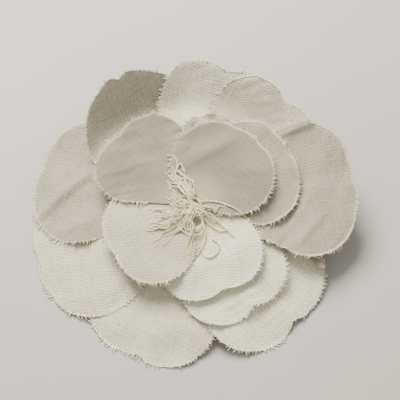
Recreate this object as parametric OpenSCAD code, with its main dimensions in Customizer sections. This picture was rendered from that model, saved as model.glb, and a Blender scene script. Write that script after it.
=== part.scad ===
// Fabric flower hair clip.
// Fifteen frayed cotton petals are stacked around a wrapped core on a felt back,
// and a sprung two-arm clip is held to the felt.
// Frame: +Z up, the flower faces +Z and rests on the table plane z = 0.
// The origin is the point of the table plane under the flower's axis.
// Azimuths are degrees counter-clockwise from +X, seen from above.

/* [Flower] */
// Diameter over the outer petals
flower_d = 131; // [110:1:150]
// Thickness of the petal cloth
petal_t = 0.45; // [0.3:0.05:0.55]
// Rise from one petal root to the next
stack_pitch = 0.7; // [0.6:0.05:0.85]
// Diameter of the wrapped core that carries the petals
core_d = 8; // [7:0.5:10]

/* [Back] */
// Diameter of the felt back
felt_d = 34; // [28:1:35]
// Thickness of the felt back
felt_t = 1.5; // [1:0.1:2]
// Diameter of the card stiffener
card_d = 24; // [18:1:25]
// Thickness of the card stiffener
card_t = 0.8; // [0.5:0.1:1]

/* [Stamens] */
// Number of stamen threads
stamen_count = 30; // [16:1:40]
// Diameter of one stamen thread
stamen_d = 0.6; // [0.4:0.1:0.7]
// Bend radius of a stamen thread
stamen_bend = 8; // [5:0.5:10]

/* [Stem] */
// Diameter of the stem wire
wire_d = 1.2; // [0.8:0.1:1.4]
// Diameter over the paper wrap of the stem
wrap_d = 2.7; // [2.2:0.1:2.9]
// Pitch of the wrap's ridges
ridge_pitch = 1; // [0.8:0.1:1.5]

/* [Clip] */
// Length of the clip's upper arm
clip_len = 45; // [40:1:50]
// Width of the clip's upper arm
clip_w = 8; // [7:0.5:9]
// Thickness of the clip's sheet steel
clip_t = 0.6; // [0.5:0.05:0.7]
// Diameter of the clip's hinge pin
pin_d = 2; // [1.6:0.1:2.2]
// Radial play of the lower jaw on its pin
pin_play = 0.05; // [0.02:0.01:0.1]
// Direction of the clip's finger lever
clip_azimuth = 65; // [55:1:75]

/* [Hidden] */

clear = 0.05;               // gap between pieces that lie against each other
flower_k = flower_d / 131;  // scale of everything that follows the flower's diameter
arm_top = 9;                // top of the clip's upper arm, which the felt lies on
felt_top = arm_top + felt_t;
card_top = felt_top + card_t;
root_r = core_d / 2 + clear;
first_root = card_top + petal_t + 0.95;
cup_r = 60 * flower_k;      // radius at which the cup's rim height is given
cup_high = 30;              // height of the cup's rim at its highest
cup_azimuth = 75;           // where the cup's rim is highest
cup_curl = 2.7;             // how late the cup leaves the flat, on average

// One row per petal: azimuth of the notch, reach, width, half the gap between the two
// lobe centres, place in the stack, how far the rim stands above the cup at the clockwise
// edge, the notch and the counter-clockwise edge, and how late the cloth leaves the cup.
bottom_petal       = [248.5, 59.5, 51, 7, 0, -0.8, 0.5, 0.4, 2];
lower_right_petal  = [-45.5, 59.5, 53, 9, 1, 1.4, -3.4, -7, 2];
lower_left_petal   = [194.5, 64, 58, 6.5, 1, -4, -1.3, 0.5, 2];
left_petal         = [161, 65.5, 51, 6, 2, -4, -3, -1, 3];
upper_left_petal   = [121, 56.5, 45, 8, 3, 0, 12, 8, 5];
top_petal          = [76, 58.5, 48, 8, 4, -3, 2, 9, 4];
upper_right_petal  = [48.5, 59, 47.5, 8, 5, -5, -1, 3, 3];
right_petal        = [10.5, 65, 52, 7, 7, -2.5, -4, 0, 2];
mid_lower_right    = [-57, 46, 43, 7, 2, 1.7, 0, 0, 2];
mid_upper_right    = [59, 41.5, 42, 8, 8, 0, 0, 0, 2];
mid_right          = [33, 45, 44, 5, 9, -1.5, 0, 0, 2];
inner_lower_right  = [-69, 35.5, 41, 7, 10, -1, -3, 0, 2];
inner_lower_left   = [213, 35.5, 41, 5.5, 11, 0, 0, 0, 2];
mid_upper_left     = [134, 43, 41, 7, 12, 0, 0, 0, 2];
inner_upper_right  = [52, 37, 43, 5, 13, 0, 0, 0, 2];

// Places of the values in a petal's row
AZ = 0;
REACH = 1;
WIDTH = 2;
LOBE = 3;
LEVEL = 4;
LIFT_CW = 5;
LIFT_NOTCH = 6;
LIFT_CCW = 7;
LATE = 8;
steps_across = 16;
steps_out = 8;

white_cloth = "#dcd8cc";
cream_thread = "#d3c8a8";
tan_paper = "#8c7c5c";
steel = "#b4b6b8";

// ---- Petals ----

// A petal's flat outline is two lobe circles joined to the root by straight sides.
function lobe_r(p) = (p[WIDTH] / 2 - p[LOBE]) * flower_k;
function lobe_dist(p) = p[REACH] * flower_k - lobe_r(p);
function lobe_angle(p) = asin(p[LOBE] * flower_k / lobe_dist(p));
function half_angle(p) = lobe_angle(p) + asin(min(1, lobe_r(p) / lobe_dist(p)));
function rim_r(p, a) =
    let (t = abs(a) - lobe_angle(p), d = lobe_dist(p), r = lobe_r(p))
    d * cos(t) + sqrt(max(0, r * r - pow(d * sin(t), 2)));
function root_z(p) = first_root + p[LEVEL] * stack_pitch;
// The cup is the surface that all petals follow: low at the front, raised at the back.
function cup_rim(az) = cup_high * pow((1 + cos(az - cup_azimuth)) / 2, 1.6);
function cup_z(r, az) =
    (cup_rim(az) - first_root) * pow(r / cup_r, cup_curl + cos(az - cup_azimuth));
function lift(p, v) =
    p[LIFT_NOTCH] + (p[LIFT_CCW] - p[LIFT_CW]) / 2 * v
    + ((p[LIFT_CCW] + p[LIFT_CW]) / 2 - p[LIFT_NOTCH]) * v * v;
function petal_point(p, u, s, drop) =
    let (v = sin(90 * u),
         a = half_angle(p) * v,
         az = p[AZ] + a,
         r = root_r + s * (rim_r(p, a) - root_r),
         z = root_z(p) + cup_z(r, az)
             + lift(p, v) * pow(r / (p[REACH] * flower_k), p[LATE]))
    [r * cos(az), r * sin(az), z - drop];

// Index of a grid point; side 0 is the upper face and side 1 the lower face.
function grid(i, j, side) = (side * (steps_across + 1) + i) * (steps_out + 1) + j;
function quad(a, b, c, d) = [[a, b, c], [a, c, d]];

module petal(p) {
    points = [for (side = [0, 1], i = [0 : steps_across], j = [0 : steps_out])
        petal_point(p, 2 * i / steps_across - 1, j / steps_out, side * petal_t)];
    upper = [for (i = [0 : steps_across - 1], j = [0 : steps_out - 1])
        each quad(grid(i, j, 0), grid(i + 1, j, 0), grid(i + 1, j + 1, 0), grid(i, j + 1, 0))];
    lower = [for (i = [0 : steps_across - 1], j = [0 : steps_out - 1])
        each quad(grid(i, j, 1), grid(i, j + 1, 1), grid(i + 1, j + 1, 1), grid(i + 1, j, 1))];
    root = [for (i = [0 : steps_across - 1])
        each quad(grid(i, 0, 0), grid(i, 0, 1), grid(i + 1, 0, 1), grid(i + 1, 0, 0))];
    rim = [for (i = [0 : steps_across - 1])
        each quad(grid(i, steps_out, 0), grid(i + 1, steps_out, 0),
                  grid(i + 1, steps_out, 1), grid(i, steps_out, 1))];
    cw_edge = [for (j = [0 : steps_out - 1])
        each quad(grid(0, j, 0), grid(0, j + 1, 0), grid(0, j + 1, 1), grid(0, j, 1))];
    ccw_edge = [for (j = [0 : steps_out - 1])
        each quad(grid(steps_across, j, 0), grid(steps_across, j, 1),
                  grid(steps_across, j + 1, 1), grid(steps_across, j + 1, 0))];
    color(white_cloth)
        polyhedron(points, concat(upper, lower, root, rim, cw_edge, ccw_edge));
}

module petal_outer_bottom() { petal(bottom_petal); }
module petal_outer_lower_right() { petal(lower_right_petal); }
module petal_outer_lower_left() { petal(lower_left_petal); }
module petal_outer_left() { petal(left_petal); }
module petal_outer_upper_left() { petal(upper_left_petal); }
module petal_outer_top() { petal(top_petal); }
module petal_outer_upper_right() { petal(upper_right_petal); }
module petal_outer_right() { petal(right_petal); }
module petal_middle_lower_right() { petal(mid_lower_right); }
module petal_middle_upper_right() { petal(mid_upper_right); }
module petal_middle_right() { petal(mid_right); }
module petal_middle_upper_left() { petal(mid_upper_left); }
module petal_inner_lower_right() { petal(inner_lower_right); }
module petal_inner_lower_left() { petal(inner_lower_left); }
module petal_inner_upper_right() { petal(inner_upper_right); }

// ---- Core and stamens ----

core_top = root_z(inner_upper_right) + 0.3;
golden_angle = 137.508;
bundle_r = core_d / 2 - 2 * stamen_d;
tie_r = core_d / 2;

module petal_core() {
    socket_r = wrap_d / 2 + clear;
    color(white_cloth)
        difference() {
            translate([0, 0, card_top]) cylinder(d = core_d, h = core_top - card_top, $fn = 48);
            translate([socket_x, socket_y, stem_root_z])
                rotate([0, 90, stem_heading]) cylinder(r = socket_r, h = core_d, $fn = 32);
        }
}

// One thread leaves the core upright and bends outward over a quarter turn or less.
module stamen(i) {
    r = bundle_r * sqrt((i + 0.5) / stamen_count);
    lean = 45 + 40 * r / bundle_r;
    rotate([0, 0, i * golden_angle])
        translate([r + stamen_bend, 0, core_top])
            rotate([90, 0, 0])
                rotate([0, 0, 180 - lean])
                    rotate_extrude(angle = lean, $fn = 48)
                        translate([stamen_bend, 0]) circle(d = stamen_d, $fn = 16);
}

module stamen_threads() {
    color(cream_thread) for (i = [0 : stamen_count - 1]) stamen(i);
}

module stamen_binding() {
    cord_d = 0.5;
    color(cream_thread)
        translate([0, 0, core_top + cord_d / 2])
            rotate_extrude($fn = 64) translate([tie_r - cord_d / 2, 0]) circle(d = cord_d, $fn = 16);
}

// ---- Stem ----

stem_root_z = 15.45;
socket_x = 1.8;
socket_y = -0.2;
stem_heading = -4;
// Route of the stem from the core to its cut end, between the right-hand petals, at the standard flower_d
stem_plan = [
    [2.2, -0.2, 15.45], [8, -0.7, 15.4], [14, -1.4, 15.1], [20, -2.6, 14.6], [26, -4.4, 13.9],
    [32, -6.8, 13], [38, -10, 12], [43, -13.2, 10.8], [47, -16.3, 9.5], [50.2, -19.2, 8.4], [52.6, -21.5, 7.4]
];
stem_route = [for (p = stem_plan) [p[0] * flower_k, p[1] * flower_k, p[2]]];
wire_stub = 0.6;    // bare wire past the end of the wrap
ridge_depth = 0.08;
stem_sides = 10;

function route_len(k) = k == 0 ? 0 : route_len(k - 1) + norm(stem_route[k] - stem_route[k - 1]);
function route_at(d, k = 1) =
    let (a = stem_route[k - 1], b = stem_route[k], la = route_len(k - 1), lb = route_len(k))
    d <= lb || k == len(stem_route) - 1 ? a + (b - a) * (d - la) / (lb - la) : route_at(d, k + 1);
// Averaging the route over a short stretch rounds its corners.
function smooth_at(d) = (route_at(max(0, d - 3)) + route_at(d) + route_at(d + 3)) / 3;
function heading(d) =
    let (v = smooth_at(d + 0.5) - smooth_at(d - 0.5)) v / norm(v);
function ring(d, r) =
    let (t = heading(d),
         side = cross(t, [0, 0, 1]) / norm(cross(t, [0, 0, 1])),
         up = cross(side, t),
         c = smooth_at(d))
    [for (k = [0 : stem_sides - 1])
        let (a = 360 * k / stem_sides) c + r * cos(a) * side + r * sin(a) * up];

// A closed tube through rings at the distances ds with the radii rs.
module stem_solid(ds, rs) {
    n = stem_sides;
    last = len(ds) - 1;
    points = [for (k = [0 : last]) each ring(ds[k], rs[k])];
    sides = [for (k = [0 : last - 1], m = [0 : n - 1])
        let (q = (m + 1) % n) each quad(k * n + m, k * n + q, (k + 1) * n + q, (k + 1) * n + m)];
    ends = [[for (m = [n - 1 : -1 : 0]) m], [for (m = [0 : n - 1]) last * n + m]];
    polyhedron(points, concat(sides, ends));
}

stem_len = route_len(len(stem_route) - 1);
ridge_count = floor(stem_len / (ridge_pitch / 2));
wire_steps = 16;
// The bore of the wrap is a little larger than the wire inside it.
bore_r = wire_d / 2 + clear;

module wire_shape(r, from, to) {
    stem_solid([for (k = [0 : wire_steps]) from + (to - from) * k / wire_steps],
               [for (k = [0 : wire_steps]) r]);
}

module stem_wire() {
    color(tan_paper) wire_shape(wire_d / 2, 0.1, stem_len + wire_stub);
}

module stem_wrap() {
    color(tan_paper)
        difference() {
            stem_solid([for (k = [0 : ridge_count]) stem_len * k / ridge_count],
                       [for (k = [0 : ridge_count]) wrap_d / 2 - (k % 2) * ridge_depth]);
            wire_shape(bore_r, -1, stem_len + 1);
        }
}

// ---- Back ----

module felt_back() {
    color(white_cloth) translate([0, 0, arm_top]) cylinder(d = felt_d, h = felt_t, $fn = 72);
}

module card_stiffener() {
    color("#cfc9b8") translate([0, 0, felt_top]) cylinder(d = card_d, h = card_t, $fn = 72);
}

// ---- Clip, drawn with its lever along +X and turned to clip_azimuth ----

nose_x = -24;                       // keeps the tips clear of the bottom petal
tail_len = clip_len + nose_x;
arm_under = arm_top - clip_t;
pivot_x = 6;
pivot_z = 5.2;
pin_r = pin_d / 2;
ear_gap = 0.2;                      // side play between the jaw's ears and the arm's ears
ear_r = pin_r + 1.3;
ear_foot = 2 * ear_r - 0.4;         // width of the ear where it meets its arm
jaw_w = clip_w - 2 * clip_t - 2 * ear_gap;
lever_end = tail_len + 7.5;
jaw_gap = 0.1;                      // gap between the closed tips
// The jaw strip's side view: centre-line points from its tip to the lever's end
jaw_line = [
    [nose_x, arm_under - jaw_gap - clip_t / 2],
    [nose_x + 4, arm_under - jaw_gap - clip_t / 2],
    [nose_x + 8, 5.6], [-4, 4.4], [pivot_x - 3, 2.9], [pivot_x + 4, 2.9],
    [lever_end - 6, 1.1], [lever_end, clip_t / 2]
];

module at_clip() { rotate([0, 0, clip_azimuth]) children(); }

function unit(v) = v / norm(v);
function normal(line, k) = let (v = unit(line[k] - line[k - 1])) [-v[1], v[0]];

// A point of the strip's upper (side 1) or lower (side -1) face, mitred at each bend.
function strip_edge(line, k, side) =
    let (before = normal(line, max(k, 1)), after = normal(line, min(k + 1, len(line) - 1)),
         n = unit(before + after))
    line[k] + side * clip_t / 2 / (n * before) * n;

module bent_strip(line, w) {
    last = len(line) - 1;
    rotate([90, 0, 0]) linear_extrude(w, center = true)
        polygon([
            for (k = [0 : last]) strip_edge(line, k, 1),
            for (k = [0 : last]) strip_edge(line, last - k, -1)
        ]);
}

module ear(y, thick, hole_r, foot_z) {
    difference() {
        union() {
            translate([pivot_x, y, pivot_z])
                rotate([90, 0, 0]) cylinder(r = ear_r, h = thick, center = true, $fn = 40);
            translate([pivot_x - ear_foot / 2, y - thick / 2, min(pivot_z, foot_z)])
                cube([ear_foot, thick, abs(foot_z - pivot_z)]);
        }
        translate([pivot_x, y, pivot_z])
            rotate([90, 0, 0]) cylinder(r = hole_r, h = thick + 1, center = true, $fn = 40);
    }
}

module clip_upper_arm() {
    ear_y = (clip_w - clip_t) / 2;
    color(steel) at_clip() {
        translate([nose_x + clip_w / 2, -clip_w / 2, arm_under])
            cube([clip_len - clip_w, clip_w, clip_t]);
        for (x = [nose_x + clip_w / 2, tail_len - clip_w / 2])
            translate([x, 0, arm_under]) cylinder(d = clip_w, h = clip_t, $fn = 48);
        for (side = [-1, 1]) ear(side * ear_y, clip_t, pin_r, arm_under + clip_t / 2);
    }
}

module clip_lower_jaw() {
    ear_y = (jaw_w - clip_t) / 2;
    color(steel) at_clip() {
        bent_strip(jaw_line, jaw_w);
        for (side = [-1, 1]) ear(side * ear_y, clip_t, pin_r + pin_play, jaw_line[4][1]);
    }
}

module clip_hinge_pin() {
    head_t = 0.4;
    color(steel) at_clip() translate([pivot_x, 0, pivot_z]) rotate([90, 0, 0]) {
        cylinder(r = pin_r, h = clip_w, center = true, $fn = 40);
        for (side = [-1, 1]) translate([0, 0, side * (clip_w + head_t) / 2])
            cylinder(r = pin_r + 0.5, h = head_t, center = true, $fn = 40);
    }
}

// A torsion spring: side-by-side turns round the pin and one leg against each arm.
spring_wire = 0.7;
spring_turns = 4;
turn_pitch = 0.95 * spring_wire;    // the turns bite into each other, so the coil is one solid
coil_r = pin_r + pin_play + 0.1 + spring_wire / 2;
leg_len = 9;

// A leg leaves the coil's top (side 1) or bottom (side -1) towards the clip's nose.
module spring_leg(y, side, target_z) {
    from_z = pivot_z + side * coil_r;
    tilt = asin((target_z - from_z) / leg_len);
    translate([pivot_x, y, from_z]) rotate([0, -90 + tilt, 0])
        cylinder(d = spring_wire, h = leg_len, $fn = 12);
}

module clip_spring() {
    reach_y = (spring_turns - 1) / 2 * turn_pitch;
    color("#8c8f93") at_clip() {
        for (k = [0 : spring_turns - 1])
            translate([pivot_x, k * turn_pitch - reach_y, pivot_z]) rotate([90, 0, 0])
                rotate_extrude($fn = 36) translate([coil_r, 0]) circle(d = spring_wire, $fn = 12);
        spring_leg(reach_y, 1, arm_under - spring_wire / 2 - clear);
        spring_leg(-reach_y, -1, pivot_z);
    }
}

// A felt strip that passes under the upper arm and is sewn to the felt back on both sides.
keeper_x = -9;
keeper_len = 7;
keeper_t = 0.8;
keeper_side = 3;

module clip_keeper_strip() {
    inner = clip_w / 2 + clear;
    outer = inner + keeper_side;
    under = arm_under - clear;
    color(white_cloth) at_clip() difference() {
        translate([keeper_x - keeper_len / 2, -outer, under - keeper_t])
            cube([keeper_len, 2 * outer, arm_top - under + keeper_t]);
        translate([keeper_x - keeper_len, -inner, under])
            cube([2 * keeper_len, 2 * inner, arm_top]);
    }
}

// Dried glue along both edges of the upper arm, under the felt.
module glue_pad() {
    pad_r = 1.6;
    color("#d8d2b8") at_clip()
        for (side = [-1, 1], x = [1, 12])
            translate([x, side * (clip_w / 2 + clear + pad_r), arm_top - 0.5])
                cylinder(r = pad_r, h = 0.5, $fn = 28);
}

clip_upper_arm();
clip_lower_jaw();
clip_hinge_pin();
clip_spring();
clip_keeper_strip();
felt_back();
card_stiffener();
glue_pad();
petal_core();
petal_outer_bottom();
petal_outer_lower_right();
petal_outer_lower_left();
petal_outer_left();
petal_middle_lower_right();
petal_outer_upper_left();
petal_outer_top();
petal_outer_upper_right();
petal_outer_right();
petal_middle_upper_right();
petal_middle_right();
petal_inner_lower_right();
petal_inner_lower_left();
petal_middle_upper_left();
petal_inner_upper_right();
stem_wire();
stem_wrap();
stamen_threads();
stamen_binding();
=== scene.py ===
"""Looks of the flower hair clip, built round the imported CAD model, in metres and in the row frame."""

import math

import bpy
import numpy as np
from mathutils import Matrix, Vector


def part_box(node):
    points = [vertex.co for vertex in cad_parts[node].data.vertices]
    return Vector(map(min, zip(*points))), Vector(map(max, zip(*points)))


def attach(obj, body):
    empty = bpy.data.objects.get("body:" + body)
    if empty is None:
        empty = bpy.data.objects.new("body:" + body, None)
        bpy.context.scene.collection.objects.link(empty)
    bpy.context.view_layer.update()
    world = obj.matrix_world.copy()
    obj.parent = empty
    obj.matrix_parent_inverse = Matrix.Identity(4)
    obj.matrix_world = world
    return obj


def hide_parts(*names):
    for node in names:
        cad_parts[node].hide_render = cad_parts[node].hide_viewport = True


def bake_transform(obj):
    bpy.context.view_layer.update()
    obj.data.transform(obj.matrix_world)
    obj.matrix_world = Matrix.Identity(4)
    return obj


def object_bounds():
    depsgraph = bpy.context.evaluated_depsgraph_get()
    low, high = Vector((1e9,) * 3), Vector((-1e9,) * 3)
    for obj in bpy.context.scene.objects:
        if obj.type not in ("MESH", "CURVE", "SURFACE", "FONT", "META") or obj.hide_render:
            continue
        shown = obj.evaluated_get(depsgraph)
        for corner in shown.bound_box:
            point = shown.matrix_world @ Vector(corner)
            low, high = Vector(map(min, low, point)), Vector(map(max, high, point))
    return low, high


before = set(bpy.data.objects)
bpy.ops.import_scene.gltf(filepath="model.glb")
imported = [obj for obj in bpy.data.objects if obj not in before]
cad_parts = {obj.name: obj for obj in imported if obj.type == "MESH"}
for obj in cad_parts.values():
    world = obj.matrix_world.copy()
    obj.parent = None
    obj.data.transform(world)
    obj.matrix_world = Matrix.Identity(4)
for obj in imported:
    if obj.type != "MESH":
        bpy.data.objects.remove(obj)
cad_low, cad_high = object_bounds()

MM = 0.001
SEED = 41

# ---- Camera ----

VIEW_ELEVATION = math.radians(65)
VIEW_DISTANCE = 0.420
LENS = 92
AIM_OFFSET = Vector((3.3, 9.3, -11.0)) * MM  # where the camera looks, from the middle of the object


def make_camera():
    middle = (cad_low + cad_high) / 2
    aim = Vector((0, 0, middle.z)) + AIM_OFFSET
    back = Vector((0, -math.cos(VIEW_ELEVATION), math.sin(VIEW_ELEVATION)))
    data = bpy.data.cameras.new("camera")
    data.lens = LENS
    data.sensor_width = 36
    data.clip_start = 0.02
    camera = bpy.data.objects.new("camera", data)
    camera.location = aim + back * VIEW_DISTANCE
    camera.rotation_euler = (-back).to_track_quat("-Z", "Y").to_euler()
    bpy.context.scene.collection.objects.link(camera)
    bpy.context.scene.camera = camera


make_camera()

# ---- Materials: every one is built from procedural nodes ----


class Nodes:
    """Short calls for building one Principled material's node tree."""

    def __init__(self, name, colour, roughness, **sockets):
        self.material = bpy.data.materials.new(name)
        self.material.use_nodes = True
        self.tree = self.material.node_tree
        self.shader = self.tree.nodes["Principled BSDF"]
        self.shader.inputs["Base Color"].default_value = (*colour, 1)
        self.shader.inputs["Roughness"].default_value = roughness
        for socket, value in sockets.items():
            self.shader.inputs[socket.replace("_", " ")].default_value = value

    def node(self, kind, **settings):
        made = self.tree.nodes.new(kind)
        for key, value in settings.items():
            setattr(made, key, value)
        return made

    def link(self, source, target):
        self.tree.links.new(source, target)

    def position(self, source="Object", scale=(1, 1, 1), turn=0.0):
        """A coordinate times scale, turned by some degrees in its own plane."""
        if source == "Object":
            out = self.node("ShaderNodeTexCoord").outputs["Object"]
        else:
            out = self.node("ShaderNodeUVMap", uv_map=source).outputs["UV"]
        mapping = self.node("ShaderNodeMapping")
        mapping.inputs["Scale"].default_value = scale
        mapping.inputs["Rotation"].default_value = (0, 0, math.radians(turn))
        self.link(out, mapping.inputs["Vector"])
        return mapping.outputs["Vector"]

    def noise(self, where, scale, detail=2.0, rough=0.5):
        made = self.node("ShaderNodeTexNoise")
        made.inputs["Scale"].default_value = scale
        made.inputs["Detail"].default_value = detail
        made.inputs["Roughness"].default_value = rough
        self.link(where, made.inputs["Vector"])
        return made.outputs["Fac"]

    def maths(self, operation, a, b=0.0, c=0.0):
        made = self.node("ShaderNodeMath", operation=operation)
        for socket, value in zip(made.inputs, (a, b, c)):
            if isinstance(value, (int, float)):
                socket.default_value = value
            else:
                self.link(value, socket)
        return made.outputs["Value"]

    def ramp(self, value, low, high, to_low=0.0, to_high=1.0):
        made = self.node("ShaderNodeMapRange")
        self.link(value, made.inputs["Value"])
        sockets = ("From Min", "From Max", "To Min", "To Max")
        for socket, number in zip(sockets, (low, high, to_low, to_high)):
            made.inputs[socket].default_value = number
        return made.outputs["Result"]

    def mix(self, amount, a, b):
        """Colour a where amount is 0 and b where it is 1."""
        made = self.node("ShaderNodeMix", data_type="RGBA")
        self.link(amount, made.inputs[0])
        for socket, value in ((made.inputs[6], a), (made.inputs[7], b)):
            if isinstance(value, tuple):
                socket.default_value = (*value, 1)
            else:
                self.link(value, socket)
        return made.outputs[2]

    def attribute(self, name):
        return self.node("ShaderNodeAttribute", attribute_name=name).outputs["Fac"]

    def colour(self, value):
        self.link(value, self.shader.inputs["Base Color"])

    def roughness(self, value):
        self.link(value, self.shader.inputs["Roughness"])

    def bump(self, height, distance, strength=1.0):
        made = self.node("ShaderNodeBump")
        made.inputs["Strength"].default_value = strength
        made.inputs["Distance"].default_value = distance
        self.link(height, made.inputs["Height"])
        self.link(made.outputs["Normal"], self.shader.inputs["Normal"])


def shade(colour, factor):
    return tuple(min(1.0, c * factor) for c in colour)


def tinted(colour, factors):
    return tuple(c * k for c, k in zip(colour, factors))


def weave_height(n, across, along):
    """Over and under threads of a plain weave, from two coordinates counted in threads."""
    warp = n.maths("SINE", n.maths("MULTIPLY", across, math.pi))
    weft = n.maths("SINE", n.maths("MULTIPLY", along, math.pi))
    crossing = n.maths("MULTIPLY", warp, weft)
    ridges = n.maths("ADD", n.maths("ABSOLUTE", warp), n.maths("ABSOLUTE", weft))
    return n.maths("MULTIPLY_ADD", crossing, 0.8, ridges)


THREAD_PITCH = 0.56  # mm from one thread of the cotton to the next


def cotton(name, colour, grain):
    """Plain-woven cotton, from the UV map Weave, the flat cloth in mm, and edge, the mm to its rim."""
    n = Nodes(name, colour, 0.92, Sheen_Weight=0.18, Sheen_Roughness=0.6, Specular_IOR_Level=0.25)
    flat = n.position("Weave", turn=grain)
    wander = n.noise(flat, 0.14, 3.0)
    split = n.node("ShaderNodeSeparateXYZ")
    n.link(flat, split.inputs[0])
    across = n.maths("MULTIPLY_ADD", wander, 3.0, n.maths("DIVIDE", split.outputs["X"], THREAD_PITCH))
    along = n.maths("MULTIPLY_ADD", wander, -2.6, n.maths("DIVIDE", split.outputs["Y"], THREAD_PITCH))
    cloth = weave_height(n, across, along)
    slub_x = n.noise(n.position("Weave", (0.10, 1.7, 1), grain), 1.0, 2.0)
    slub_y = n.noise(n.position("Weave", (1.7, 0.10, 1), grain), 1.0, 2.0)
    slubs = n.maths("ADD", slub_x, slub_y)
    fuzz = n.noise(flat, 3.2, 4.0, 0.7)
    patches = n.noise(flat, 0.055, 3.0)
    base = n.mix(n.ramp(patches, 0.35, 0.68), shade(colour, 1.03), tinted(colour, (0.965, 0.95, 0.91)))
    # low places of the weave are painted darker: painted shade in the gaps between threads, on top of the
    # threads' own uneven tone from the slubs
    threads = n.ramp(n.maths("MULTIPLY_ADD", slubs, 1.2, n.maths("MULTIPLY", cloth, 0.42)), 0.95, 2.0)
    woven = n.mix(threads, shade(colour, 0.50), base)
    aged = n.mix(n.ramp(n.attribute("heart"), 0, 1, 0, 0.5), woven, (0.56, 0.47, 0.29))
    # paler within 1.2 mm of the rim: partly whiter frayed thread ends, partly a painted highlight where the
    # thread ends catch the light
    frayed_and_lit_rim = n.mix(n.ramp(n.attribute("edge"), 0.0, 1.2, 0.5, 0.0), aged, shade(colour, 1.12))
    specks = n.ramp(n.noise(flat, 0.9, 1.0), 0.755, 0.79)
    n.colour(n.mix(n.maths("MULTIPLY", specks, 0.35), frayed_and_lit_rim, (0.42, 0.37, 0.27)))
    n.roughness(n.ramp(fuzz, 0.3, 0.7, 0.85, 1.0))
    uneven = n.maths("MULTIPLY_ADD", slubs, 0.55, n.maths("MULTIPLY", fuzz, 0.25))
    n.bump(n.maths("MULTIPLY_ADD", cloth, 0.32, uneven), 0.5 * MM, 1.0)
    return n.material


def yarn(name, colour, turns_per_mm=1.1):
    """Twisted thread: the UV map Twist runs round and along each thread in millimetres."""
    n = Nodes(name, colour, 0.82, Sheen_Weight=0.25, Specular_IOR_Level=0.3)
    along = n.position("Twist")
    split = n.node("ShaderNodeSeparateXYZ")
    n.link(along, split.inputs[0])
    lean = n.maths("MULTIPLY_ADD", split.outputs["Y"], turns_per_mm, split.outputs["X"])
    strand = n.maths("SINE", n.maths("MULTIPLY", lean, 4 * math.pi))
    fibres = n.noise(along, 5.0, 3.0, 0.7)
    age = n.noise(n.position(), 260.0, 2.0)
    tone = n.mix(n.ramp(age, 0.35, 0.68), shade(colour, 1.12), tinted(colour, (0.90, 0.85, 0.74)))
    # the grooves between the twisted strands are painted darker as painted shade, mixed with the fibres' own
    # uneven tone
    n.colour(n.mix(n.ramp(n.maths("ADD", strand, fibres), -0.6, 1.4), shade(colour, 0.86), tone))
    n.bump(n.maths("MULTIPLY_ADD", strand, 0.5, fibres), 0.10 * MM, 0.8)
    return n.material


def felt(name, colour):
    n = Nodes(name, colour, 0.97, Sheen_Weight=0.35, Specular_IOR_Level=0.2)
    where = n.position()
    fibres = n.noise(where, 2600.0, 5.0, 0.75)
    clumps = n.noise(where, 420.0, 3.0)
    tufts = n.ramp(n.maths("ADD", fibres, clumps), 0.75, 1.3)
    n.colour(n.mix(tufts, shade(colour, 0.80), shade(colour, 1.06)))
    n.roughness(n.ramp(clumps, 0.3, 0.7, 0.9, 1.0))
    n.bump(n.maths("MULTIPLY_ADD", clumps, 1.5, fibres), 0.35 * MM, 0.9)
    return n.material


def card(name, colour):
    n = Nodes(name, colour, 0.85)
    where = n.position()
    pulp = n.noise(where, 900.0, 5.0, 0.7)
    flecks = n.ramp(n.noise(where, 1500.0, 1.0), 0.68, 0.74)
    base = n.mix(n.ramp(pulp, 0.35, 0.65), shade(colour, 0.92), shade(colour, 1.05))
    n.colour(n.mix(flecks, base, shade(colour, 0.55)))
    n.bump(pulp, 0.08 * MM)
    return n.material


def glue(name, colour):
    n = Nodes(name, colour, 0.28, Transmission_Weight=0.15, Coat_Weight=0.3)
    where = n.position()
    waves = n.noise(where, 500.0, 3.0)
    n.colour(n.mix(n.ramp(waves, 0.35, 0.65), shade(colour, 0.85), shade(colour, 1.05)))
    n.roughness(n.ramp(n.noise(where, 1400.0, 2.0), 0.3, 0.7, 0.2, 0.5))
    n.bump(waves, 0.15 * MM)
    return n.material


def steel(name, colour, roughness, stretch):
    """Brushed metal, worn at the edges, with the brush lines along the axis where stretch is small."""
    n = Nodes(name, colour, roughness, Metallic=1.0)
    lines = n.noise(n.position("Object", stretch, -CLIP_AZIMUTH), 1.0, 4.0, 0.7)
    smears = n.noise(n.position(), 190.0, 3.0)
    base = n.mix(n.ramp(lines, 0.3, 0.7), shade(colour, 0.82), shade(colour, 1.1))
    worn = n.node("ShaderNodeNewGeometry").outputs["Pointiness"]
    bright = n.mix(n.ramp(worn, 0.52, 0.6), base, shade(colour, 1.3))
    n.colour(n.mix(n.ramp(smears, 0.55, 0.75, 0, 0.5), bright, shade(colour, 0.6)))
    n.roughness(n.ramp(n.maths("ADD", lines, smears), 0.7, 1.3, roughness * 0.75, roughness * 1.35))
    n.bump(lines, 0.02 * MM)
    return n.material


def paper_wrap(name, colour):
    n = Nodes(name, colour, 0.88)
    along = n.position("Twist")
    fibres = n.noise(n.position("Twist", (1.2, 5.0, 1)), 1.0, 4.0, 0.7)
    stains = n.noise(along, 0.35, 3.0)
    base = n.mix(n.ramp(fibres, 0.3, 0.7), shade(colour, 0.72), shade(colour, 1.12))
    n.colour(n.mix(n.ramp(stains, 0.4, 0.7, 0, 0.7), base, tinted(colour, (0.62, 0.56, 0.5))))
    n.bump(fibres, 0.12 * MM)
    return n.material


# ---- Meshes ----


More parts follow.
